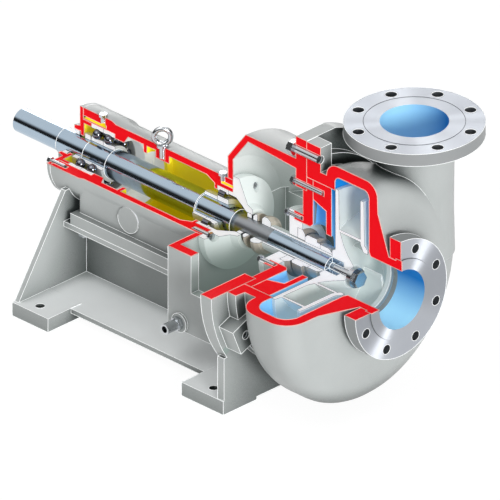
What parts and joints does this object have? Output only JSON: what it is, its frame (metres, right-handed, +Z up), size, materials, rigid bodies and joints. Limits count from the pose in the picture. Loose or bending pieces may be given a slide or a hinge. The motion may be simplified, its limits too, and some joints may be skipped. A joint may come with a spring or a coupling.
{
  "type": "slurry pump",
  "caption": "Horizontal centrifugal slurry pump on a cast pedestal, opened in section to show its shaft, bearings, shaft seal and impeller.",
  "frame": {"origin": "centre of the shaft's drive-end face, on the shaft axis", "axes": "+X along the shaft to the suction flange, +Z up through the discharge, +Y to the discharge side; the quarter with Y below 0 and Z above 0 is cut open"},
  "size_m": [0.9592, 0.5228, 0.497],
  "materials": {
    "painted_castings": "satin light grey paint, with cut faces in red, oil space in yellow and wetted faces in blue",
    "shaft_steel": "ground and polished",
    "bearing_steel": "ground",
    "ball_steel": "polished, dark",
    "flange_steel": "faced on a lathe",
    "white_iron": "fine cast, pale grey",
    "seal_ceramic": "lapped, taupe",
    "seal_bronze": "turned, pale beige",
    "zinc_steel": "zinc plated",
    "seal_rubber": "matt black"
  },
  "bodies": {
    "frame": {"pedestal_frame": "painted_castings", "bearing_housing": "painted_castings", "rear_bearing_cover": "painted_castings", "rear_oil_seal": "seal_rubber", "rear_cover_bolt_1": "zinc_steel", "rear_cover_bolt_2": "zinc_steel", "rear_cover_bolt_3": "zinc_steel", "front_bearing_cover": "white_iron", "front_oil_seal": "seal_rubber", "front_cover_bolt_1": "zinc_steel", "front_cover_bolt_2": "zinc_steel", "front_cover_bolt_3": "zinc_steel", "rear_bearing_a_outer_ring": "bearing_steel", "rear_bearing_b_outer_ring": "bearing_steel", "roller_bearing_outer_ring": "bearing_steel", "volute_casing": "painted_castings", "suction_flange": "flange_steel", "suction_flange_screw": "zinc_steel", "discharge_flange": "flange_steel", "seal_housing": "painted_castings", "wear_plate": "painted_castings", "cover_stud_1": "zinc_steel", "cover_stud_2": "zinc_steel", "cover_stud_3": "zinc_steel", "gland_plate": "white_iron", "gland_bolt_1": "zinc_steel", "gland_bolt_2": "zinc_steel", "gland_bolt_3": "zinc_steel", "gland_bolt_4": "zinc_steel", "seal_stationary_ring": "seal_ceramic", "casing_bolt_1": "zinc_steel", "casing_bolt_2": "zinc_steel", "casing_bolt_3": "zinc_steel", "foot_bolt_rear_near": "zinc_steel", "foot_bolt_rear_far": "zinc_steel", "foot_bolt_front_near": "zinc_steel", "foot_bolt_front_far": "zinc_steel", "eye_bolt": "zinc_steel", "rear_grease_plug": "zinc_steel", "front_grease_plug": "zinc_steel", "drain_nipple": "zinc_steel"},
    "rotor": {"shaft": "shaft_steel", "front_spacer": "bearing_steel", "bearing_lock_nut": "bearing_steel", "bearing_lock_washer": "zinc_steel", "rear_bearing_a_inner_ring": "bearing_steel", "rear_bearing_b_inner_ring": "bearing_steel", "roller_bearing_inner_ring": "bearing_steel", "water_flinger": "seal_bronze", "seal_drive_collar": "seal_bronze", "seal_sleeve": "white_iron", "seal_rotary_ring": "seal_ceramic", "seal_retainer": "seal_bronze", "impeller": "white_iron", "impeller_bolt": "zinc_steel"},
    "ball_set_a": {"rear_bearing_a_ball_cage": "ball_steel"},
    "ball_set_b": {"rear_bearing_b_ball_cage": "ball_steel"},
    "roller_set": {"roller_bearing_roller_cage": "ball_steel"}
  },
  "joints": [
    {"name": "shaft_spin", "type": "hinge", "parent": "frame", "child": "rotor", "pos_m": [0.4, 0, 0], "axis": [1, 0, 0], "continuous": true},
    {"name": "ball_set_a_spin", "type": "hinge", "parent": "frame", "child": "ball_set_a", "pos_m": [0.1928, 0, 0], "axis": [1, 0, 0], "continuous": true},
    {"name": "ball_set_b_spin", "type": "hinge", "parent": "frame", "child": "ball_set_b", "pos_m": [0.2221, 0, 0], "axis": [1, 0, 0], "continuous": true},
    {"name": "roller_set_spin", "type": "hinge", "parent": "frame", "child": "roller_set", "pos_m": [0.5087, 0, 0], "axis": [1, 0, 0], "continuous": true}
  ],
  "couplings": [
    {"joint": "ball_set_a_spin", "follows": "shaft_spin", "ratio": 0.3895},
    {"joint": "ball_set_b_spin", "follows": "shaft_spin", "ratio": 0.3895},
    {"joint": "roller_set_spin", "follows": "shaft_spin", "ratio": 0.4286}
  ]
}
